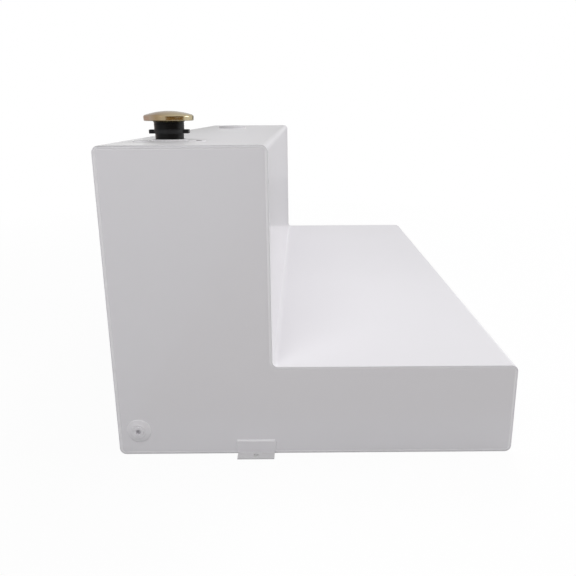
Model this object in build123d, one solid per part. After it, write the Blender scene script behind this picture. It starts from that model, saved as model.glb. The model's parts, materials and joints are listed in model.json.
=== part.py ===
from build123d import *
import math
import os

# Truck bed transfer tank: an L-shaped steel tank on two feet, with a vented screw cap on a cast neck.
# Millimetres. X runs from the tall back (-X) to the low step (+X), Y along the tank, Z up.
# The origin is the middle of the footprint, on the floor of the truck bed.

# Shell of folded sheet
length = 1524.0
base_depth = 775.0
tall_depth = 305.0
height = 597.0
step_height = 184.0
sheet = 1.9
bend_radius = 12.7
edge_rounding = 0.8

# Ends and baffles
end_bend = 6.0
end_flange = 28.0
weld_recess = 1.0
baffle_bend = 4.0
baffle_flange = 20.0
baffle_spacing = 508.0
corner_notch = 42.0
tall_flow_hole = 120.0
step_flow_hole = 90.0

# Where the fittings stand, from the back wall and the near end
filler_from_back = 100.0
filler_from_end = 182.0
ports_from_back = 107.0
ports_from_end = 142.0
port_spacing = 110.0
pump_from_back = 129.0
pump_from_end = 1075.0
drain_from_back = 41.0
drain_height = 51.6

# Weld-in bungs
port_bore = 19.0
port_collar = 28.0
port_rise = 1.5
port_wall = 3.0
port_reach = 14.0
pump_bore = 56.5
pump_collar = 88.0
pump_rise = 9.0
pump_wall = 6.0
pump_reach = 16.0
filler_collar = 68.0
filler_rise = 3.0
filler_wall = 4.0
filler_reach = 16.0
bung_weld = 2.0
bung_lip = 1.0
drain_bore = 20.6
drain_boss = 30.0
drain_flange = 46.0
drain_flange_edge = 1.5
drain_rise = 5.0
drain_wall = 3.2
drain_reach = 16.0

# Pipe plugs
port_plug_length = 14.0
port_socket = 9.5
drain_plug_length = 15.0
drain_socket = 9.5
socket_depth = 7.0
drain_plug_proud = 1.0
plug_chamfer = 1.0

# Cast filler neck, heights above the tank top
neck_spigot = 55.0
neck_spigot_length = 18.0
neck_barrel = 56.0
lug_underside = 13.8
lug_thickness = 7.8
lug_ring = 62.0
lug_span = 78.5
lug_width = 19.0
lug_corner = 2.4
cast_rounding = 1.2
neck_collar = 58.6
neck_height = 48.0
neck_bore = 48.0
neck_chamfer = 1.0

# Vented cap; the dome's diameter is taken before its shoulder is rounded
cap_lead = 4.5
cap_turns = 3
cap_lift_clear = 1.4
gasket_thickness = 2.5
gasket_bore = 48.5
cup_diameter = 64.4
cup_sheet = 1.0
cup_corner = 2.0
cup_lip = 4.0
dome_diameter = 99.8
dome_crown_radius = 152.0
dome_crown_clearance = 5.4
dome_sheet = 1.2
dome_depth = 15.6
dome_taper = 2.0
dome_shoulder = 4.5
rim_roll = 1.7
stud_circle = 36.0
stud_diameter = 6.0
stud_shank = 4.0
stud_count = 3
stud_head = 1.0

# Relief valve in the cap
housing_diameter = 26.0
housing_depth = 16.0
housing_wall = 1.0
inlet_bore = 10.0
poppet_diameter = 20.0
poppet_thickness = 1.5
poppet_nose = 8.6
poppet_stem = 4.0
poppet_lift = 3.5
stem_clear = 1.0
seal_diameter = 18.0
seal_thickness = 1.5
spring_diameter = 10.0
spring_wire = 1.0
spring_turns = 5
vent_hole = 4.0
vent_hole_circle = 17.6
vent_hole_count = 6

# Feet
foot_from_back = 270.0
foot_width = 72.0
foot_leg = 28.0
foot_flange = 23.0
foot_sheet = 3.0
foot_bend = 4.5
foot_edge = 0.5
foot_hole = 11.0
foot_hole_out = 12.5
foot_weld = 3.5

# Clearances
thread_gap = 0.1
cap_thread_gap = 0.3
bung_hole_gap = 0.2
spring_gap = 0.3

# How far a cutting shape reaches past what it cuts
overcut = 1.0

# Places that follow from the sizes
back = -base_depth / 2
front = base_depth / 2
riser = back + tall_depth
near = -length / 2
far = length / 2
filler_x = back + filler_from_back
filler_y = near + filler_from_end
port_y = near + ports_from_end
left_port_x = back + ports_from_back - port_spacing / 2
right_port_x = back + ports_from_back + port_spacing / 2
pump_x = back + pump_from_back
pump_y = near + pump_from_end
drain_x = back + drain_from_back
foot_x = back + foot_from_back
filler_bore = neck_spigot + 2 * thread_gap
neck_rim = height + neck_height
cup_ceiling = neck_rim + gasket_thickness
cup_depth = gasket_thickness + cap_lead * cap_turns - cap_lift_clear
cup_roof = cup_ceiling + cup_sheet
cup_bore = neck_collar + 2 * cap_thread_gap
dome_top = cup_roof + dome_crown_clearance
dome_rim = dome_top - dome_depth
housing_floor = cup_ceiling - housing_depth + housing_wall
poppet_top = housing_floor + seal_thickness + poppet_thickness


# Revolves a closed outline of (radius, height) points about the Z axis
def turned(*points):
    return revolve(make_face(Plane.XZ * Polyline(*points, close=True)), Axis.Z)


# A solid disc or rod standing on a height
def rod(diameter, bottom, top):
    return Pos(0, 0, bottom) * extrude(Circle(diameter / 2), amount=top - bottom)


# L-shaped section of the tank, drawn inward of the outer skin by an inset
def shell_section(inset):
    left, middle, right = back + inset, riser - inset, front - inset
    floor, tread, roof = inset, step_height - inset, height - inset
    corners = [
        (left, floor),
        (right, floor),
        (right, tread),
        (middle, tread),
        (middle, roof),
        (left, roof),
    ]
    outer_bend = bend_radius - inset
    step_bend = bend_radius - sheet + inset
    bends = [outer_bend, outer_bend, outer_bend, step_bend, outer_bend, outer_bend]
    return make_face(Plane.XZ * FilletPolyline(*corners, radius=bends, close=True))


# The section carried along Y
def shell_prism(inset, start, end):
    return Pos(0, end, 0) * extrude(shell_section(inset), amount=end - start)


# The same with the edges of its near face rounded
def rounded_prism(inset, start, end, rounding):
    prism = shell_prism(inset, start, end)
    return fillet(prism.edges().group_by(Axis.Y)[0], rounding)


# Puts what is modelled about Z at a port on the tank top
def on_top(x, y, solid):
    return Pos(x, y, height) * solid


# Turns what is modelled about Z to point out of the near end
def on_near_end(x, z, solid):
    return Pos(x, near, z) * Rot(90, 0, 0) * solid


# Threaded ring welded into a hole: a collar above the sheet and a spigot through it
def weld_bung(bore, collar, rise, wall, reach):
    inner, outer, spigot = bore / 2, collar / 2, bore / 2 + wall
    lip = min(bung_lip, rise / 3)
    weld_top = min(bung_weld / 2, rise / 3)
    return turned(
        (inner, -reach),
        (spigot, -reach),
        (spigot, 0),
        (outer + bung_weld, 0),
        (outer, weld_top),
        (outer, rise - lip),
        (outer - lip, rise),
        (inner + lip, rise),
        (inner, rise - lip),
    )


# Round boss with a sloping weld flange
def boss_bung():
    inner, spigot = drain_bore / 2, drain_bore / 2 + drain_wall
    outer, boss = drain_flange / 2, drain_boss / 2
    return turned(
        (inner, -drain_reach),
        (spigot, -drain_reach),
        (spigot, 0),
        (outer, 0),
        (outer, drain_flange_edge),
        (boss, drain_rise - bung_lip),
        (boss - bung_lip, drain_rise),
        (inner, drain_rise),
    )


# Hollow-socket pipe plug with its top face at zero
def pipe_plug(bore, plug_length, socket, sides):
    radius = bore / 2 - thread_gap
    body = turned(
        (0, -plug_length),
        (radius - plug_chamfer, -plug_length),
        (radius, -plug_length + plug_chamfer),
        (radius, -plug_chamfer / 2),
        (radius - plug_chamfer / 2, 0),
        (0, 0),
    )
    key = RegularPolygon(socket / 2, sides, major_radius=False)
    return body - Pos(0, 0, -socket_depth) * extrude(key, amount=socket_depth + overcut)


# Round hole in the sheet for a bung's spigot, cut through from both sides
def bung_hole(bore, wall):
    return rod(bore + 2 * wall + 2 * bung_hole_gap, -3 * sheet, 3 * sheet)


# One sheet folded round the L-shaped section, with the port holes in its top
def make_body_wrapper():
    tube = shell_prism(0, near, far) - shell_prism(sheet, near - overcut, far + overcut)
    ends = tube.faces().sort_by(Axis.Y)
    tube = fillet(ends[0].outer_wire().edges() + ends[-1].outer_wire().edges(), edge_rounding)
    holes = [
        (filler_x, filler_y, filler_bore, filler_wall),
        (left_port_x, port_y, port_bore, port_wall),
        (right_port_x, port_y, port_bore, port_wall),
        (pump_x, pump_y, pump_bore, pump_wall),
    ]
    for x, y, bore, wall in holes:
        tube -= on_top(x, y, bung_hole(bore, wall))
    return tube


# Room inside a dished plate, within its flange
def plate_hollow(face, flange, bend):
    return rounded_prism(2 * sheet, face + sheet, face + flange + overcut, bend - sheet)


# Dished plate with its flange turned into the tank
def flanged_plate(face, flange, bend):
    return rounded_prism(sheet, face, face + flange, bend) - plate_hollow(face, flange, bend)


# End plate: the groove round its rounded edge is filled with weld, a little below the face
def make_end_plate():
    weld = shell_prism(sheet, near + weld_recess, near + end_bend)
    weld -= plate_hollow(near, end_flange, end_bend)
    return flanged_plate(near, end_flange, end_bend) + weld


def make_near_end_plate():
    return make_end_plate() - on_near_end(drain_x, drain_height, bung_hole(drain_bore, drain_wall))


def make_far_end_plate():
    return mirror(make_end_plate(), about=Plane.XZ)


# Surge baffle with notched corners and round flow holes
def make_baffle(face):
    plate = flanged_plate(face, baffle_flange, baffle_bend)
    corners = [
        (back, 0),
        (front, 0),
        (front, step_height),
        (riser, step_height),
        (riser, height),
        (back, height),
    ]
    for x, z in corners:
        plate -= Pos(x, face, z) * Box(corner_notch, 3 * baffle_flange, corner_notch)
    tall_middle = (back + riser) / 2
    step_middle = (riser + front) / 2
    holes = [
        (tall_middle, step_height / 2, step_flow_hole),
        (tall_middle, (step_height + height) / 2, tall_flow_hole),
        (step_middle, step_height / 2, step_flow_hole),
    ]
    for x, z, diameter in holes:
        plate -= Pos(x, face, z) * Rot(90, 0, 0) * Cylinder(diameter / 2, 3 * baffle_flange)
    return plate


# Cast neck: threaded spigot, barrel, wrench lugs and the collar that the cap screws onto
def make_filler_neck():
    bore, spigot = neck_bore / 2, neck_spigot / 2
    barrel, collar = neck_barrel / 2, neck_collar / 2
    tube = turned(
        (bore, -neck_spigot_length),
        (spigot - neck_chamfer, -neck_spigot_length),
        (spigot, neck_chamfer - neck_spigot_length),
        (spigot, filler_rise),
        (barrel, filler_rise),
        (barrel, lug_underside),
        (collar, lug_underside + lug_thickness),
        (collar, neck_height - neck_chamfer),
        (collar - neck_chamfer, neck_height),
        (bore, neck_height),
    )
    outline = Circle(lug_ring / 2) + RectangleRounded(lug_span, lug_width, lug_corner)
    lugs = extrude(outline, amount=lug_thickness)
    rims = lugs.edges().group_by(Axis.Z)
    lugs = fillet(rims[0] + rims[-1], cast_rounding)
    lugs -= rod(neck_bore, -overcut, lug_thickness + overcut)
    return on_top(filler_x, filler_y, tube + Pos(0, 0, lug_underside) * lugs)


# Mushroom cover, solid; the same shape drawn smaller hollows it
def dome_solid(shrink, bottom):
    centre = dome_top - dome_crown_radius
    crown = dome_crown_radius - shrink
    rim = dome_diameter / 2 - shrink
    rim_height = centre + math.sqrt(crown**2 - rim**2)
    half = rim / 2
    half_height = centre + math.sqrt(crown**2 - half**2)
    arc = ThreePointArc((0, centre + crown), (half, half_height), (rim, rim_height))
    side = Polyline((rim, rim_height), (rim - dome_taper, bottom), (0, bottom), (0, centre + crown))
    section = make_face(Plane.XZ * (arc + side))
    section = fillet(section.vertices().sort_by(Axis.X)[-1], dome_shoulder - shrink)
    return revolve(section, Axis.Z)


# Stamped dome with its rim rolled under
def make_cap_dome():
    shell = dome_solid(0, dome_rim) - dome_solid(dome_sheet, dome_rim - overcut)
    roll_radius = dome_diameter / 2 - dome_taper - rim_roll
    roll = Pos(0, 0, dome_rim) * Torus(roll_radius, rim_roll)
    return Pos(filler_x, filler_y, 0) * (shell + roll)


# Pressed cup with its lip drawn in to the neck's thread, and vent and stud holes in its roof
def make_cap_inner_cup():
    outer, thread = cup_diameter / 2, cup_bore / 2
    lip = cup_ceiling - cup_depth
    cup = turned(
        (0, cup_ceiling),
        (outer - cup_sheet, cup_ceiling),
        (outer - cup_sheet, lip + cup_lip),
        (thread, lip),
        (thread + cup_sheet / 2, lip),
        (outer, lip + cup_lip),
        (outer, cup_roof),
        (0, cup_roof),
    )
    cup = fillet(cup.edges().group_by(Axis.Z)[-1], cup_corner)
    for place in PolarLocations(vent_hole_circle / 2, vent_hole_count):
        cup -= place * rod(vent_hole, cup_ceiling - overcut, cup_roof + overcut)
    for place in PolarLocations(stud_circle / 2, stud_count):
        cup -= place * rod(stud_shank, cup_ceiling - overcut, cup_roof + overcut)
    return Pos(filler_x, filler_y, 0) * cup


# Studs riveted through the cup, their tops meeting the inside of the dome
def make_cap_standoff_studs():
    under_dome = dome_solid(dome_sheet, dome_rim)
    studs = []
    for place in PolarLocations(stud_circle / 2, stud_count):
        stud = rod(stud_diameter, cup_roof, dome_top) + rod(stud_shank, cup_ceiling, cup_roof)
        stud += rod(stud_diameter, cup_ceiling - stud_head, cup_ceiling)
        studs.append(place * stud & under_dome)
    return Pos(filler_x, filler_y, 0) * Compound(children=studs)


def make_cap_gasket():
    ring = rod(neck_collar, neck_rim, cup_ceiling)
    ring -= rod(gasket_bore, neck_rim - overcut, cup_ceiling + overcut)
    return Pos(filler_x, filler_y, 0) * ring


# Small cup under the cap's roof, with the valve seat in its floor
def make_vent_housing():
    inside = housing_diameter - 2 * housing_wall
    housing = rod(housing_diameter, housing_floor - housing_wall, cup_ceiling)
    housing = fillet(housing.edges().group_by(Axis.Z)[0], housing_wall)
    housing -= rod(inside, housing_floor, cup_ceiling + overcut)
    housing -= rod(inlet_bore, housing_floor - 2 * housing_wall, housing_floor + overcut)
    return Pos(filler_x, filler_y, 0) * housing


# Poppet: disc, guide stem above it and a nose that holds the seal
def make_vent_poppet():
    disc_bottom = housing_floor + seal_thickness
    stem_top = cup_ceiling - poppet_lift - stem_clear
    poppet = rod(poppet_diameter, disc_bottom, poppet_top)
    poppet += rod(poppet_stem, poppet_top, stem_top)
    poppet += rod(poppet_nose, housing_floor, disc_bottom)
    return Pos(filler_x, filler_y, 0) * poppet


def make_vent_poppet_seal():
    seal_bottom, seal_top = housing_floor, housing_floor + seal_thickness
    seal = rod(seal_diameter, seal_bottom, seal_top)
    seal -= rod(poppet_nose, seal_bottom - overcut, seal_top + overcut)
    return Pos(filler_x, filler_y, 0) * seal


# Closed coil between the poppet and the cap's roof
def make_vent_spring():
    bottom = poppet_top + spring_gap + spring_wire / 2
    rise = cup_ceiling - spring_gap - spring_wire / 2 - bottom
    radius = spring_diameter / 2
    path = Helix(pitch=rise / spring_turns, height=rise, radius=radius)
    section = Plane(origin=path @ 0, z_dir=path % 0) * Circle(spring_wire / 2)
    coil = sweep(section, path=path)
    return Pos(filler_x, filler_y, bottom) * coil


# Angle foot against the near end, with its welds
def make_near_foot():
    outline = FilletPolyline(
        (0, 0),
        (-foot_flange, 0),
        (-foot_flange, foot_sheet),
        (-foot_sheet, foot_sheet),
        (-foot_sheet, foot_leg),
        (0, foot_leg),
        radius=[foot_bend, foot_edge, foot_edge, foot_bend - foot_sheet, foot_edge, foot_edge],
        close=True,
    )
    angle = extrude(make_face(Plane.YZ * outline), amount=foot_width / 2, both=True)
    weld_bottom, weld_top = foot_bend, foot_leg - foot_edge
    outside_angle = Pos(0, -foot_flange / 2, foot_leg / 2) * Box(2 * foot_width, foot_flange, 2 * foot_leg)
    outside_angle -= Box(foot_width, 4 * foot_flange, 4 * foot_leg)
    for side in (-1, 1):
        bead = Pos(side * foot_width / 2, 0, 0) * rod(2 * foot_weld, weld_bottom, weld_top)
        bead = fillet(bead.edges().group_by(Axis.Z)[-1], foot_weld / 2)
        angle += bead & outside_angle
    angle -= Pos(0, -foot_hole_out, 0) * rod(foot_hole, -overcut, foot_sheet + overcut)
    return Pos(foot_x, near, 0) * angle


filler_ring = weld_bung(filler_bore, filler_collar, filler_rise, filler_wall, filler_reach)
port_ring = weld_bung(port_bore, port_collar, port_rise, port_wall, port_reach)
pump_ring = weld_bung(pump_bore, pump_collar, pump_rise, pump_wall, pump_reach)
port_plug = Pos(0, 0, port_rise) * pipe_plug(port_bore, port_plug_length, port_socket, 4)
drain_plug = pipe_plug(drain_bore, drain_plug_length, drain_socket, 6)

nodes = {
    "body_wrapper": make_body_wrapper(),
    "near_end_plate": make_near_end_plate(),
    "far_end_plate": make_far_end_plate(),
    "near_baffle": make_baffle(-baffle_spacing / 2),
    "far_baffle": make_baffle(baffle_spacing / 2),
    "filler_bung": on_top(filler_x, filler_y, filler_ring),
    "left_port_bung": on_top(left_port_x, port_y, port_ring),
    "right_port_bung": on_top(right_port_x, port_y, port_ring),
    "pump_bung": on_top(pump_x, pump_y, pump_ring),
    "drain_bung": on_near_end(drain_x, drain_height, boss_bung()),
    "left_port_plug": on_top(left_port_x, port_y, port_plug),
    "drain_plug": on_near_end(drain_x, drain_height, Pos(0, 0, drain_rise + drain_plug_proud) * drain_plug),
    "filler_neck": make_filler_neck(),
    "cap_dome": make_cap_dome(),
    "cap_inner_cup": make_cap_inner_cup(),
    "cap_standoff_studs": make_cap_standoff_studs(),
    "cap_gasket": make_cap_gasket(),
    "vent_housing": make_vent_housing(),
    "vent_poppet": make_vent_poppet(),
    "vent_poppet_seal": make_vent_poppet_seal(),
    "vent_spring": make_vent_spring(),
    "near_foot": make_near_foot(),
    "far_foot": mirror(make_near_foot(), about=Plane.XZ),
}

os.makedirs("parts", exist_ok=True)
for name, solid in nodes.items():
    export_step(solid, f"parts/{name}.step")
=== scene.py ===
import bpy
import json
import math
from mathutils import Matrix, Vector


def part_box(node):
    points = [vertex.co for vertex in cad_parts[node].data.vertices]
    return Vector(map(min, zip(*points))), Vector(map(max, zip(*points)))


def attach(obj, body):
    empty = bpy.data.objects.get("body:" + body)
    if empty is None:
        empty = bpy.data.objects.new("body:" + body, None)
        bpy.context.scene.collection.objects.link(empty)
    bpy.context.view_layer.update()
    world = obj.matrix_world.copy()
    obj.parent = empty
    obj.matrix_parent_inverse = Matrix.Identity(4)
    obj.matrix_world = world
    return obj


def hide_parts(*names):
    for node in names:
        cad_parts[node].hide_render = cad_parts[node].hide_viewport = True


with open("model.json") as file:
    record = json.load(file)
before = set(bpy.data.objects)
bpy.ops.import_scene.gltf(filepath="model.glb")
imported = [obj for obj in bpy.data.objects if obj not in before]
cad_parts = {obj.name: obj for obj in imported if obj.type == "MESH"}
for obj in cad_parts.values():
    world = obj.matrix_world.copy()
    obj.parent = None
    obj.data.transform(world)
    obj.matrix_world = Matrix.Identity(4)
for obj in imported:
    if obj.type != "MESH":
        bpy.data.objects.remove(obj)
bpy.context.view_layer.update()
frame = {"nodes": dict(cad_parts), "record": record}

# sizes are in metres; a noise is its scale, detail and roughness, a bump its strength and depth
print("frame loaded")
bpy.ops.object.select_all(action="DESELECT")
nodes = frame["nodes"]


# one socket of a node tree, which can be added, multiplied and so on
class Wire:
    def __init__(self, tree, socket):
        self.tree, self.socket = tree, socket

    def calc(self, operation, first, second):
        return self.tree.node("ShaderNodeMath", {"operation": operation}, {0: first, 1: second})

    def __add__(self, other):
        return self.calc("ADD", self, other)

    def __radd__(self, other):
        return self.calc("ADD", other, self)

    def __sub__(self, other):
        return self.calc("SUBTRACT", self, other)

    def __rsub__(self, other):
        return self.calc("SUBTRACT", other, self)

    def __mul__(self, other):
        return self.calc("MULTIPLY", self, other)

    def __rmul__(self, other):
        return self.calc("MULTIPLY", other, self)


# the node tree of a material or of the world
class Tree:
    def __init__(self, owner):
        self.owner = owner
        owner.use_nodes = True
        self.tree = owner.node_tree
        self.tree.nodes.clear()

    def node(self, kind, settings=None, inputs=None, output=0):
        made = self.tree.nodes.new(kind)
        for key, value in (settings or {}).items():
            if key == "stops":
                self.setStops(made.color_ramp, value)
            else:
                setattr(made, key, value)
        for key, value in (inputs or {}).items():
            if isinstance(value, Wire):
                self.tree.links.new(value.socket, made.inputs[key])
            else:
                made.inputs[key].default_value = value
        return Wire(self, made.outputs[output]) if made.outputs else made

    def setStops(self, ramp, stops):
        while len(ramp.elements) < len(stops):
            ramp.elements.new(0.5)
        for element, (place, colour) in zip(ramp.elements, stops):
            element.position = place
            element.color = colour

    def place(self):
        return self.node("ShaderNodeTexCoord", output="Object")

    def along(self, axis):
        return self.node("ShaderNodeSeparateXYZ", {}, {0: self.place()}, output=axis)

    def noise(self, scale, detail, roughness):
        inputs = {"Vector": self.place(), "Scale": scale, "Detail": detail, "Roughness": roughness}
        return self.node("ShaderNodeTexNoise", {}, inputs)

    def ramp(self, value, stops):
        return self.node("ShaderNodeValToRGB", {"stops": stops}, {"Fac": value})

    def blend(self, factor, first, second):
        inputs = {0: factor, 6: first, 7: second}
        return self.node("ShaderNodeMix", {"data_type": "RGBA"}, inputs, output=2)

    def clamp(self, value):
        return self.node("ShaderNodeClamp", {}, {"Value": value})

    def bump(self, height, strength, distance):
        inputs = {"Strength": strength, "Distance": distance, "Height": height}
        return self.node("ShaderNodeBump", {}, inputs)

    # one for rays that come from the camera, a mirror or glass, nought for light on the object
    def seen(self):
        kinds = ("Camera", "Glossy", "Transmission")
        camera, mirror, glass = (
            self.node("ShaderNodeLightPath", output=f"Is {kind} Ray") for kind in kinds
        )
        return self.clamp(camera + mirror + glass)

    def finish(self, inputs):
        shader = self.node("ShaderNodeBsdfPrincipled", {}, inputs)
        self.node("ShaderNodeOutputMaterial", {}, {"Surface": shader})
        return self.owner


def newTree(name):
    return Tree(bpy.data.materials.new(name))


whitePaintLook = {
    "white": (0.802, 0.789, 0.817, 1),
    "shade": (0.781, 0.768, 0.796, 1),
    # painted shade: a grey laid over the paint on the tank's top and on the feet
    "tintWithPaintedLight": (0.58, 0.575, 0.58, 1),
    "paintedShadeAtBack": 1.3,
    "paintedShadeAtRiser": 0.6,
    "paintedShadeOnFeet": 0.7,
    "topFade": 0.004,
    "feetTop": 0.0045,
    "feetFade": 0.001,
    "blotchNoise": (2.6, 3.0, 0.55),
    "peelNoise": (420.0, 1.0, 0.4),
    "peelBump": (0.25, 0.00005),
    "gloss": 0.46,
    "glossDrift": 0.06,
    "shine": 0.4,
    "coat": 0.22,
    "coatGloss": 0.12,
}


# glossy paint with painted shade on the feet and on the tank's top, heaviest along its long edges
def makeWhitePaint():
    look = whitePaintLook
    tree = newTree("whitePaint")
    blotches = tree.noise(*look["blotchNoise"])
    peel = tree.noise(*look["peelNoise"])
    paint = tree.blend(blotches, look["white"], look["shade"])
    # where the painted shade lies: on the top, most along its back edge and at the riser, and on the
    # feet
    onTop = tree.clamp((tree.along("Z") - (tankTop - look["topFade"])) * (1 / look["topFade"]))
    across = tree.clamp((tree.along("X") - tankLow.x) * (1 / tank["tallDepth"]))
    atBack = look["paintedShadeAtBack"] * (1 - across) * (1 - across)
    atRiser = look["paintedShadeAtRiser"] * across * across
    paintedTopShade = onTop * (atBack + atRiser)
    onFeet = tree.clamp((look["feetTop"] - tree.along("Z")) * (1 / look["feetFade"]))
    return tree.finish({
        "Base Color": tree.blend(paintedTopShade + onFeet * look["paintedShadeOnFeet"], paint, look["tintWithPaintedLight"]),
        "Roughness": look["gloss"] + look["glossDrift"] * blotches,
        "Specular IOR Level": look["shine"],
        "Coat Weight": look["coat"],
        "Coat Roughness": look["coatGloss"],
        "Normal": tree.bump(peel, *look["peelBump"]),
    })


weldPaintLook = {
    "white": (0.85, 0.836, 0.865, 1),
    # painted shade in the hollows of the ripples
    "rippleShade": (0.81, 0.797, 0.824, 1),
    # painted highlight: the lighter tone of the upright runs
    "paintedHighlight": (0.9, 0.887, 0.913, 1),
    "paintedHighlightFrom": 0.012,
    "margin": 0.006,
    "rippleScale": 260.0,
    "rippleWander": 1.6,
    "rippleDetail": 2.0,
    "rippleBump": (0.6, 0.0003),
    "gloss": 0.4,
    "glossDrift": 0.1,
}


# painted highlight on the upright runs of the welds, and painted shade in the hollows of their ripples
def makeWeldPaint():
    look = weldPaintLook
    tree = newTree("paintedWeld")
    tread, margin = tank["tread"], look["margin"]
    bands = [(0, 0), (look["paintedHighlightFrom"], 1), (tread - 2 * margin, 1), (tread - margin, 0)]
    bands += [(tread + margin, 1), (tankTop - 2 * margin, 1), (tankTop - margin, 0)]
    stops = [(height / tankTop, (share, share, share, 1)) for height, share in bands]
    upright = tree.ramp(tree.along("Z") * (1 / tankTop), stops)
    wave = {
        "Vector": tree.place(),
        "Scale": look["rippleScale"],
        "Distortion": look["rippleWander"],
        "Detail": look["rippleDetail"],
    }
    ripple = tree.node("ShaderNodeTexWave", {"bands_direction": "DIAGONAL"}, wave, output="Fac")
    paint = tree.blend(ripple, look["rippleShade"], look["white"])
    return tree.finish({
        "Base Color": tree.blend(upright, paint, look["paintedHighlight"]),
        "Roughness": look["gloss"] + look["glossDrift"] * ripple,
        "Normal": tree.bump(ripple, *look["rippleBump"]),
    })


castIronLook = {
    "black": (0.003, 0.003, 0.0033, 1),
    "worn": (0.010, 0.0098, 0.0105, 1),
    # painted highlight on the ring of the lugs
    "ringHighlight": (0.026, 0.026, 0.028, 1),
    "patchNoise": (60.0, 3.0, 0.5),
    "grainNoise": (900.0, 2.0, 0.6),
    "grainBump": (0.5, 0.0003),
    "gloss": 0.27,
    "glossDrift": 0.2,
    "shine": 0.12,
    "ringFrom": 0.0138,
    "ringTo": 0.0216,
    "ringFade": 0.002,
}


# black paint on rough iron, with a painted highlight that makes it greyer round the ring of the lugs
def makeCastIron():
    look = castIronLook
    tree = newTree("blackCastIron")
    patches = tree.noise(*look["patchNoise"])
    grain = tree.noise(*look["grainNoise"])
    span = neckTop - tankTop
    start, end, fade = look["ringFrom"], look["ringTo"], look["ringFade"]
    ring = [(start - fade, 0), (start, 1), (end, 1), (end + fade, 0)]
    stops = [(height / span, (share, share, share, 1)) for height, share in ring]
    ringHighlight = tree.ramp((tree.along("Z") - tankTop) * (1 / span), stops)
    black = tree.blend(patches, look["black"], look["worn"])
    return tree.finish({
        "Base Color": tree.blend(ringHighlight, black, look["ringHighlight"]),
        "Roughness": look["gloss"] + look["glossDrift"] * patches,
        "Specular IOR Level": look["shine"],
        "Normal": tree.bump(grain, *look["grainBump"]),
    })


goldPlateLook = {
    # the film's tones with a painted reflection: the pink and green sides are brighter than the gold
    # middle
    "pink": (0.39, 0.32, 0.27, 1),
    "pinkAt": 0.2,
    "gold": (0.31, 0.225, 0.13, 1),
    "goldAt": 0.42,
    "green": (0.56, 0.50, 0.33, 1),
    "greenAt": 0.95,
    "edges": (0.7, 0.68, 0.66, 1),  # tint where the dome is seen edge on
    "drift": 0.3,
    "driftNoise": (16.0, 2.0, 0.5),
    "scuffNoise": (120.0, 3.0, 0.6),
    "scuffBump": (0.05, 0.0001),
    "gloss": 0.11,
    "glossDrift": 0.1,
}


# yellow zinc whose colour sweeps from pink on one side to green on the other: partly the plating's own
# film, partly a painted reflection that makes both sides brighter than the middle
def makeGoldPlate():
    look = goldPlateLook
    low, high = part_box("cap_dome")
    tree = newTree("goldPlate")
    across = (tree.along("X") - low[0]) * (1 / (high[0] - low[0]))
    drift = tree.noise(*look["driftNoise"])
    stops = [(look[f"{tone}At"], look[tone]) for tone in ("pink", "gold", "green")]
    tintWithPaintedLight = tree.ramp(across * (1 - look["drift"]) + drift * look["drift"], stops)
    scuffs = tree.noise(*look["scuffNoise"])
    return tree.finish({
        "Base Color": tintWithPaintedLight,
        "Metallic": 1.0,
        "Specular Tint": look["edges"],
        "Roughness": look["gloss"] + look["glossDrift"] * scuffs,
        "Normal": tree.bump(scuffs, *look["scuffBump"]),
    })


shadedGoldLook = {
    # painted shade under the dome
    "brown": (0.03, 0.021, 0.011, 1),
    "brownTo": 0.5,
    "olive": (0.14, 0.13, 0.05, 1),
    "oliveFrom": 0.72,
    "driftNoise": (90.0, 2.0, 0.5),
    "gloss": 0.3,
    "glossDrift": 0.2,
}


# the cup under the dome, coloured dark brown and olive as painted shade under the dome
def makeShadedGold():
    look = shadedGoldLook
    tree = newTree("shadedGold")
    drift = tree.noise(*look["driftNoise"])
    tintWithPaintedLight = tree.ramp(drift, [(look["brownTo"], look["brown"]), (look["oliveFrom"], look["olive"])])
    gloss = look["gloss"] + look["glossDrift"] * drift
    return tree.finish({"Base Color": tintWithPaintedLight, "Metallic": 1.0, "Roughness": gloss})


# metal whose fine scuffs change its tone and its gloss
def makeScuffedMetal(name, look):
    tree = newTree(name)
    scuffs = tree.noise(*look["scuffNoise"])
    colour = tree.blend(scuffs, look["smooth"], look["scuffed"])
    gloss = look["gloss"] + look["glossDrift"] * scuffs
    return tree.finish({"Base Color": colour, "Metallic": 1.0, "Roughness": gloss})


steelLook = {
    "smooth": (0.50, 0.50, 0.49, 1),
    "scuffed": (0.62, 0.62, 0.61, 1),
    "scuffNoise": (240.0, 4.0, 0.6),
    "gloss": 0.28,
    "glossDrift": 0.16,
}
paintedShadeThreadLook = {  # bare thread, coloured near black as painted shade inside the open port
    "smooth": (0.012, 0.011, 0.010, 1),
    "scuffed": (0.03, 0.028, 0.026, 1),
    "scuffNoise": (300.0, 3.0, 0.5),
    "gloss": 0.5,
    "glossDrift": 0.2,
}
brassLook = {
    "smooth": (0.68, 0.50, 0.22, 1),
    "scuffed": (0.60, 0.42, 0.18, 1),
    "scuffNoise": (300.0, 3.0, 0.5),
    "gloss": 0.25,
    "glossDrift": 0.12,
}


rubberLook = {
    "black": (0.018, 0.018, 0.018, 1),
    "dusty": (0.03, 0.03, 0.03, 1),
    "grainNoise": (700.0, 2.0, 0.5),
    "grainBump": (0.3, 0.0002),
    "gloss": 0.62,
    "glossDrift": 0.14,
}


def makeRubber():
    look = rubberLook
    tree = newTree("blackRubber")
    grain = tree.noise(*look["grainNoise"])
    return tree.finish({
        "Base Color": tree.blend(grain, look["black"], look["dusty"]),
        "Roughness": look["gloss"] + look["glossDrift"] * grain,
        "Normal": tree.bump(grain, *look["grainBump"]),
    })


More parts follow.
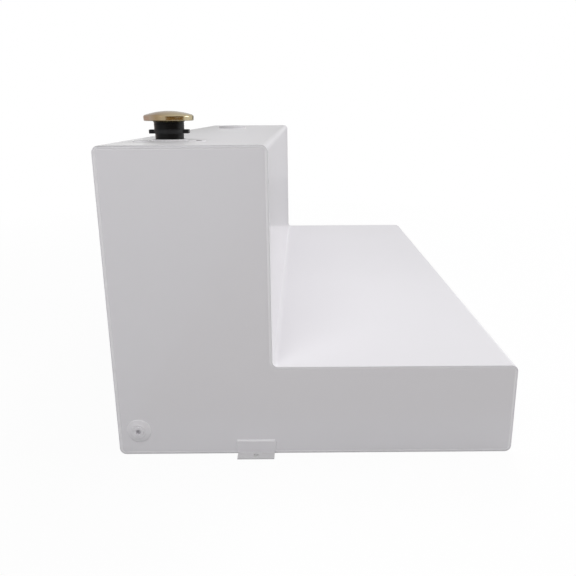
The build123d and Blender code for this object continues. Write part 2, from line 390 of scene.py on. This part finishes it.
tank = {
    "sheet": 0.0019,
    "bend": 0.0127,
    "tallDepth": 0.305,
    "tread": 0.184,
}
tankLow, tankHigh = map(Vector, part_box("body_wrapper"))
tankTop = tankHigh.z
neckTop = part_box("filler_neck")[1][2]
whitePaint = makeWhitePaint()
paintedWeld = makeWeldPaint()
castIron = makeCastIron()
paintedShadeThread = makeScuffedMetal("paintedShadeThread", paintedShadeThreadLook)
materials = {
    "white_paint": whitePaint,
    "black_cast_iron": castIron,
    "gold_plate": makeGoldPlate(),
    "bare_steel": makeScuffedMetal("bareSteel", steelLook),
    "brass": makeScuffedMetal("turnedBrass", brassLook),
    "rubber": makeRubber(),
}
for part in frame["record"]["subparts"]:
    mesh = nodes[part["node"]].data
    mesh.materials.clear()
    mesh.materials.append(materials[part["material_slot"]])
# the cup under the dome takes the dark gold of its painted shade
nodes["cap_inner_cup"].data.materials[0] = makeShadedGold()
print("materials made")


creaseAngle = 50  # degrees between two faces, past which their edge stays sharp
closeBy = 0.001  # metres within which a point counts as being at a place


# starts a piece from a primitive at the origin
def startPiece(name, addPrimitive, **settings):
    bpy.ops.object.select_all(action="DESELECT")
    addPrimitive(**settings)
    piece = bpy.context.object
    piece.name = name
    return piece


# goes into edit mode with only the points chosen that pass a test
def pick(piece, test):
    bpy.ops.object.mode_set(mode="EDIT")
    bpy.ops.mesh.select_mode(type="VERT")
    bpy.ops.mesh.select_all(action="DESELECT")
    bpy.ops.object.mode_set(mode="OBJECT")
    for vertex in piece.data.vertices:
        vertex.select = test(vertex.co)
    bpy.ops.object.mode_set(mode="EDIT")


def pickAll():
    bpy.ops.object.mode_set(mode="EDIT")
    bpy.ops.mesh.select_all(action="SELECT")


def moveAll(offset):
    pickAll()
    bpy.ops.transform.translate(value=offset)
    bpy.ops.object.mode_set(mode="OBJECT")


def turnAll(degrees, axis):
    pickAll()
    bpy.ops.transform.rotate(value=math.radians(degrees), orient_axis=axis, center_override=(0, 0, 0))
    bpy.ops.object.mode_set(mode="OBJECT")


def stretchAll(scale, centre=(0, 0, 0)):
    pickAll()
    bpy.ops.transform.resize(value=scale, center_override=centre)
    bpy.ops.object.mode_set(mode="OBJECT")


def applyModifier(piece, kind, **settings):
    modifier = piece.modifiers.new(kind.lower(), kind)
    for key, value in settings.items():
        setattr(modifier, key, value)
    bpy.ops.object.modifier_apply(modifier=modifier.name)


# turns the faces of a finished piece outwards, smooths it and gives it its material and body
def dress(piece, material, body="tank"):
    pickAll()
    bpy.ops.mesh.normals_make_consistent(inside=False)
    bpy.ops.object.mode_set(mode="OBJECT")
    bpy.ops.object.shade_smooth_by_angle(angle=math.radians(creaseAngle))
    piece.data.materials.clear()
    piece.data.materials.append(material)
    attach(piece, body)


puddles = bpy.data.textures.new("weldPuddles", "CLOUDS")
puddles.noise_scale = 0.007  # metres from one puddle of a weld to the next


# lays an uneven bead of weld along the edges of a path
def layBead(path, look, flatten=(1, 1, 1), centre=(0, 0, 0)):
    bpy.ops.object.convert(target="CURVE")
    path.data.bevel_depth = look["beadRadius"]
    path.data.bevel_resolution = 2
    path.data.use_fill_caps = True
    bpy.ops.object.convert(target="MESH")
    stretchAll(flatten, centre)
    uneven = {"texture": puddles, "texture_coords": "LOCAL", "mid_level": 0.5}
    applyModifier(path, "DISPLACE", strength=look["unevenness"], **uneven)
    dress(path, paintedWeld)


endWeldLook = {
    "beadRadius": 0.0027,
    "unevenness": 0.0003,
    "flatness": 0.32,
    "inset": 0.0037,
    "depth": 0.0008,
    "cuts": 90,
    "shortestRun": 0.05,
    "cornerSteps": 8,
}


# flat L-shaped loop a little inward of the tank's skin, its corners rounded like the folds
def outlineLoop(name, look, y):
    left, right = tankLow.x + look["inset"], tankHigh.x - look["inset"]
    middle, tread = tankLow.x + tank["tallDepth"] - look["inset"], tank["tread"] - look["inset"]
    floor, roof = tankLow.z + look["inset"], tankHigh.z - look["inset"]
    loop = startPiece(name, bpy.ops.mesh.primitive_plane_add, size=1)
    turnAll(90, "X")
    stretchAll((right - left, 1, tread - floor))
    moveAll(((left + right) / 2, y, (floor + tread) / 2))
    pickAll()
    bpy.ops.mesh.bisect(plane_co=(middle, y, 0), plane_no=(1, 0, 0))
    pick(loop, lambda point: point.z > tread - closeBy and point.x < middle + closeBy)
    bpy.ops.mesh.extrude_region_move(TRANSFORM_OT_translate={"value": (0, 0, roof - tread)})
    bpy.ops.mesh.select_all(action="SELECT")
    bpy.ops.mesh.dissolve_limited(angle_limit=math.radians(1))
    bend = {"affect": "VERTICES", "segments": look["cornerSteps"]}
    pick(loop, lambda point: abs(point.x - middle) < closeBy and abs(point.z - tread) < closeBy)
    bpy.ops.mesh.bevel(offset=tank["bend"] - tank["sheet"] + look["inset"], **bend)
    places = [(left, floor), (right, floor), (right, tread), (middle, roof), (left, roof)]
    corners = [Vector((x, y, z)) for x, z in places]
    pick(loop, lambda point: any((point - corner).length < closeBy for corner in corners))
    bpy.ops.mesh.bevel(offset=tank["bend"] - look["inset"], **bend)
    bpy.ops.mesh.select_all(action="SELECT")
    bpy.ops.mesh.delete(type="ONLY_FACE")
    bpy.ops.object.mode_set(mode="OBJECT")
    for edge in loop.data.edges:
        start, end = (loop.data.vertices[index].co for index in edge.vertices)
        edge.select = (end - start).length > look["shortestRun"]
    for vertex in loop.data.vertices:
        vertex.select = False
    bpy.ops.object.mode_set(mode="EDIT")
    bpy.ops.mesh.select_mode(type="EDGE")
    bpy.ops.mesh.subdivide(number_cuts=look["cuts"])
    bpy.ops.object.mode_set(mode="OBJECT")
    return loop


def makeEndWeld(name, y):
    look = endWeldLook
    layBead(outlineLoop(name, look, y), look, (1, look["flatness"], 1), (0, y, 0))


makeEndWeld("nearEndWeld", tankLow.y + endWeldLook["depth"])
makeEndWeld("farEndWeld", tankHigh.y - endWeldLook["depth"])
print("end welds laid")


# a straight run of points along X or Y
def straightPath(name, length, middle, cuts, alongY=False):
    path = startPiece(name, bpy.ops.mesh.primitive_plane_add, size=1)
    pick(path, lambda point: point.y > 0)
    bpy.ops.mesh.delete(type="VERT")
    bpy.ops.mesh.select_all(action="SELECT")
    bpy.ops.mesh.subdivide(number_cuts=cuts)
    bpy.ops.object.mode_set(mode="OBJECT")
    moveAll((0, 0.5, 0))
    stretchAll((length, 1, 1))
    if alongY:
        turnAll(90, "Z")
    moveAll(middle)
    return path


backSeamLook = {
    "beadRadius": 0.0028,
    "unevenness": 0.0006,
    "flatness": 0.5,
    "height": 0.3,
    "endGap": 0.006,
    "cuts": 360,
}


def makeBackSeam():
    look = backSeamLook
    length = tankHigh.y - tankLow.y - 2 * look["endGap"]
    middle = (tankLow.x, 0, look["height"])
    path = straightPath("backSeam", length, middle, look["cuts"], alongY=True)
    layBead(path, look, (look["flatness"], 1, 1), middle)


footWeldLook = {"beadRadius": 0.0026, "unevenness": 0.0006, "overhang": 0.001, "cuts": 24}


# bead along the top of each foot's leg
def makeFootWeld(name, foot, outward):
    look = footWeldLook
    low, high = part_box(foot)
    face = tankLow.y if outward < 0 else tankHigh.y
    middle = ((low[0] + high[0]) / 2, face + outward * look["overhang"], high[2])
    path = straightPath(name, high[0] - low[0] - 2 * look["beadRadius"], middle, look["cuts"])
    layBead(path, look)


makeBackSeam()
makeFootWeld("nearFootWeld", "near_foot", -1)
makeFootWeld("farFootWeld", "far_foot", 1)
print("seam and foot welds laid")


ringWeldLook = {"beadRadius": 0.0016, "unevenness": 0.0005, "steps": 120, "bungWeld": 0.002}


# bead round the foot of a bung
def makeRingWeld(name, bung, onTop=True):
    look = ringWeldLook
    low, high = map(Vector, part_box(bung))
    middle = (low + high) / 2
    radius = (high.x - low.x) / 2 - look["bungWeld"] / 2
    path = startPiece(name, bpy.ops.mesh.primitive_circle_add, vertices=look["steps"], radius=radius)
    if onTop:
        moveAll((middle.x, middle.y, tankHigh.z))
    else:
        turnAll(90, "X")
        moveAll((middle.x, tankLow.y, middle.z))
    layBead(path, look)


makeRingWeld("fillerWeld", "filler_bung")
makeRingWeld("leftPortWeld", "left_port_bung")
makeRingWeld("rightPortWeld", "right_port_bung")
makeRingWeld("pumpWeld", "pump_bung")
makeRingWeld("drainWeld", "drain_bung", onTop=False)
print("ring welds laid")


# a ridge wound round the upright axis of a node, below its top
def windThread(name, node, look, material):
    low, high = map(Vector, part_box(node))
    middle = (low + high) / 2
    section = {"vertices": look["sides"], "radius": look["halfWidth"]}
    ridge = startPiece(name, bpy.ops.mesh.primitive_circle_add, **section)
    turnAll(90, "X")
    stretchAll((look["depth"] / look["halfWidth"], 1, 1))
    moveAll((look["radius"], 0, 0))
    steps = {"steps": look["steps"], "render_steps": look["steps"], "use_merge_vertices": False}
    turn = {"angle": 2 * math.pi, "screw_offset": look["pitch"], "iterations": look["turns"]}
    applyModifier(ridge, "SCREW", **turn, **steps)
    bpy.ops.object.mode_set(mode="EDIT")
    bpy.ops.mesh.select_all(action="DESELECT")
    bpy.ops.mesh.select_non_manifold()
    bpy.ops.mesh.edge_face_add()
    bpy.ops.object.mode_set(mode="OBJECT")
    turnAll(look["endsAt"], "Z")
    moveAll((middle.x, middle.y, high.z - look["belowTop"]))
    dress(ridge, material)


domeLook = {
    "rimHeight": 0.004,
    "drop": 0.0013,
    "spread": 1.012,
    "mergeWithin": 0.000002,
    "creaseAngle": 35,
}


# the pressed dome with its rolled rim let down and spread, so that the wall above it stands upright
def makeDome():
    look = domeLook
    low, high = map(Vector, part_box("cap_dome"))
    bpy.ops.object.select_all(action="DESELECT")
    dome = bpy.data.objects.new("pressedDome", nodes["cap_dome"].data.copy())
    bpy.context.scene.collection.objects.link(dome)
    bpy.context.view_layer.objects.active = dome
    dome.select_set(True)
    pickAll()
    bpy.ops.mesh.remove_doubles(threshold=look["mergeWithin"])
    pick(dome, lambda point: point.z < low.z + look["rimHeight"])
    spread = (look["spread"], look["spread"], 1)
    bpy.ops.transform.resize(value=spread, center_override=(low + high) / 2)
    bpy.ops.transform.translate(value=(0, 0, -look["drop"]))
    bpy.ops.object.mode_set(mode="OBJECT")
    bpy.ops.mesh.customdata_custom_splitnormals_clear()
    bpy.ops.object.shade_smooth_by_angle(angle=math.radians(look["creaseAngle"]))
    applyModifier(dome, "WEIGHTED_NORMAL", mode="FACE_AREA_WITH_ANGLE", weight=50, keep_sharp=True)
    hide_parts("cap_dome")
    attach(dome, "cap")


makeDome()
print("dome shaped")

neckThreadLook = {
    "radius": 0.0293,
    "pitch": 0.0045,
    "turns": 4,
    "depth": 0.0003,
    "halfWidth": 0.0011,
    "sides": 10,
    "steps": 96,
    "endsAt": 0,
    "belowTop": 0.0195,
}
portThreadLook = {
    "radius": 0.0095,
    "pitch": 0.0018,
    "turns": 7,
    "depth": 0.0006,
    "halfWidth": 0.0009,
    "sides": 4,
    "steps": 48,
    "endsAt": -115,
    "belowTop": 0.0134,
}
pumpThreadLook = {
    "radius": 0.02825,
    "pitch": 0.0022,
    "turns": 10,
    "depth": 0.0007,
    "halfWidth": 0.0011,
    "sides": 4,
    "steps": 96,
    "endsAt": 0,
    "belowTop": 0.024,
}
windThread("neckThread", "filler_neck", neckThreadLook, castIron)
# the port's thread carries the painted shade of the open hole
windThread("portThread", "right_port_bung", portThreadLook, paintedShadeThread)
windThread("pumpThread", "pump_bung", pumpThreadLook, whitePaint)
print("threads wound")


cameraPlace = {
    "place": (-0.0241, -1.8618, 0.6527),
    "pitch": -15.97,
    "roll": 0.29,
    "yaw": -0.28,
    "focalPixels": 623.02,
    "centre": (305.6, 289.14),
    "frame": 576,
    "sensor": 36.0,
}


def addCamera():
    size = cameraPlace["frame"]
    lens = bpy.data.cameras.new("camera")
    lens.sensor_width = cameraPlace["sensor"]
    lens.lens = lens.sensor_width * cameraPlace["focalPixels"] / size
    lens.shift_x = 0.5 - cameraPlace["centre"][0] / size
    lens.shift_y = cameraPlace["centre"][1] / size - 0.5
    camera = bpy.data.objects.new("camera", lens)
    bpy.context.scene.collection.objects.link(camera)
    turn = Matrix.Rotation(math.radians(cameraPlace["yaw"]), 4, "Z")
    turn @= Matrix.Rotation(math.radians(cameraPlace["pitch"]), 4, "X")
    turn @= Matrix.Rotation(math.radians(cameraPlace["roll"]), 4, "Y")
    turn @= Matrix.Rotation(math.radians(90), 4, "X")
    camera.matrix_world = Matrix.Translation(cameraPlace["place"]) @ turn
    bpy.context.scene.camera = camera


studio = {
    "worldStrength": 0.404,
    "lamps": {
        "frontLeft": {
            "place": (-0.5, -2.1, 2.3),
            "aim": (-0.25, -0.7, 0.4),
            "size": (1.2, 1.2),
            "power": 22.5,
        },
        "overhead": {
            "place": (0.7, 0.5, 3.6),
            "aim": (0.1, 0.2, 0.2),
            "size": (1.8, 1.8),
            "power": 10.9,
        },
        "lowRight": {
            "place": (3.4, -0.5, 0.8),
            "aim": (0.0, 0.0, 0.3),
            "size": (1.2, 1.2),
            "power": 41.7,
        },
        "farHigh": {
            "place": (0.9, 2.6, 3.2),
            "aim": (0.1, 0.3, 0.2),
            "size": (1.6, 1.6),
            "power": 49.7,
        },
    },
    "floorSize": 30.0,
    "floorWhite": (0.6, 0.6, 0.6, 1),
    "floorSeen": (0.95, 0.95, 0.95, 1),
    "floorGlow": [(0.0, (0.93, 0.93, 0.93, 1)), (0.06, (0.93, 0.93, 0.93, 1)), (0.2, (1, 1, 1, 1))],
    "cards": {
        "behindCamera": {
            "place": (2.3, -3.6, 1.4),
            "aim": (-0.29, -0.58, 1.4),
            "size": (7.4, 3.4),
            "colour": (0.16, 0.08, 0.012, 1),
        },
        "floorInFront": {
            "place": (1.9, -3.0, 0.003),
            "aim": (1.9, -3.0, 1.0),
            "size": (4.6, 4.2),
            "colour": (0.42, 0.28, 0.13, 1),
        },
        "softBox": {
            "place": (-2.05, -4.3, 1.3),
            "aim": (-0.29, -0.58, 0.65),
            "size": (0.9, 0.7),
            "colour": (2.4, 1.9, 1.6, 1),
        },
        "farLeft": {
            "place": (-3.0, 1.2, 0.7),
            "aim": (-0.3, -0.6, 0.4),
            "size": (4.5, 1.6),
            "colour": (0.98, 0.86, 0.8, 1),
        },
        "window": {
            "place": (3.2, 0.4, 1.4),
            "aim": (0.0, -0.2, 0.2),
            "size": (1.5, 1.5),
            "colour": (4.1, 4.1, 4.1, 1),
        },
        "behindTank": {
            "place": (0.3, 4.5, 0.7),
            "aim": (0.3, 0.0, 0.7),
            "size": (3.8, 1.4),
            "colour": (0.31, 0.31, 0.31, 1),
        },
        "onFloor": {
            "place": (0.6, 2.7, 0.002),
            "aim": (0.6, 2.7, 1.0),
            "size": (3.6, 3.6),
            "colour": (0.13, 0.13, 0.13, 1),
        },
    },
}


def turnToAim(look):
    aim = Vector(look["aim"]) - Vector(look["place"])
    return aim.to_track_quat("-Z", "Y").to_euler()


def addLamp(name, lamp):
    light = bpy.data.lights.new(name, "AREA")
    light.shape = "RECTANGLE"
    light.size, light.size_y = lamp["size"]
    light.energy = lamp["power"]
    box = bpy.data.objects.new(name, light)
    box.location = lamp["place"]
    box.rotation_euler = turnToAim(lamp)
    box.visible_glossy = False  # mirrors see the cards in its stead
    bpy.context.scene.collection.objects.link(box)


# soft room light, and a white wall where the camera or a mirror looks
def addWorld():
    tree = Tree(bpy.data.worlds.new("studio"))
    white = (1, 1, 1, 1)
    soft = {"Color": white, "Strength": studio["worldStrength"]}
    room = tree.node("ShaderNodeBackground", {}, soft)
    wall = tree.node("ShaderNodeBackground", {}, {"Color": white, "Strength": 1.0})
    mix = tree.node("ShaderNodeMixShader", {}, {0: tree.seen(), 1: room, 2: wall})
    tree.node("ShaderNodeOutputWorld", {}, {"Surface": mix})
    bpy.context.scene.world = tree.owner


# pale floor that keeps the tank's shadow and turns white farther away
def addFloor():
    floor = startPiece("floor", bpy.ops.mesh.primitive_plane_add, size=studio["floorSize"])
    tree = newTree("floorWhite")
    lighting = tree.node("ShaderNodeBsdfDiffuse", {}, {"Color": studio["floorWhite"]})
    pictured = tree.node("ShaderNodeBsdfDiffuse", {}, {"Color": studio["floorSeen"]})
    matt = tree.node("ShaderNodeMixShader", {}, {0: tree.seen(), 1: lighting, 2: pictured})
    glow = tree.node("ShaderNodeEmission", {}, {"Color": (1, 1, 1, 1), "Strength": 1.0})
    away = tree.node("ShaderNodeVectorMath", {"operation": "LENGTH"}, {0: tree.place()}, output=1)
    share = tree.ramp(away * (2 / studio["floorSize"]), studio["floorGlow"])
    mix = tree.node("ShaderNodeMixShader", {}, {0: tree.seen() * share, 1: matt, 2: glow})
    tree.node("ShaderNodeOutputMaterial", {}, {"Surface": mix})
    floor.data.materials.append(tree.owner)


footShade = {"share": 0.9, "height": 0.0002}


# shaded floor that shows through the hole of the near foot
def addFootShade():
    low, high = map(Vector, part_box("near_foot"))
    patch = startPiece("footShade", bpy.ops.mesh.primitive_plane_add, size=1)
    middle, span = (low + high) / 2, footShade["share"] * (high - low)
    stretchAll((span.x, span.y, 1))
    moveAll((middle.x, middle.y, footShade["height"]))
    tree = newTree("shadedFloor")
    matt = tree.node("ShaderNodeBsdfDiffuse", {}, {"Color": studio["floorWhite"]})
    tree.node("ShaderNodeOutputMaterial", {}, {"Surface": matt})
    patch.data.materials.append(tree.owner)


# screen of one plain tone that only mirrors see
def addCard(name, look):
    card = startPiece(name, bpy.ops.mesh.primitive_plane_add, size=1)
    card.scale = (*look["size"], 1)
    card.location = look["place"]
    card.rotation_euler = turnToAim(look)
    tree = newTree(name)
    tone = tree.node("ShaderNodeEmission", {}, {"Color": look["colour"], "Strength": 1.0})
    tree.node("ShaderNodeOutputMaterial", {}, {"Surface": tone})
    card.data.materials.append(tree.owner)
    card.visible_camera = False
    card.visible_diffuse = False
    card.visible_shadow = False


addCamera()
addWorld()
addFloor()
addFootShade()
for cardName, cardLook in studio["cards"].items():
    addCard(cardName, cardLook)
for lampName, lampLook in studio["lamps"].items():
    addLamp(lampName, lampLook)
bpy.context.scene.view_settings.view_transform = "Standard"
print("studio lit")
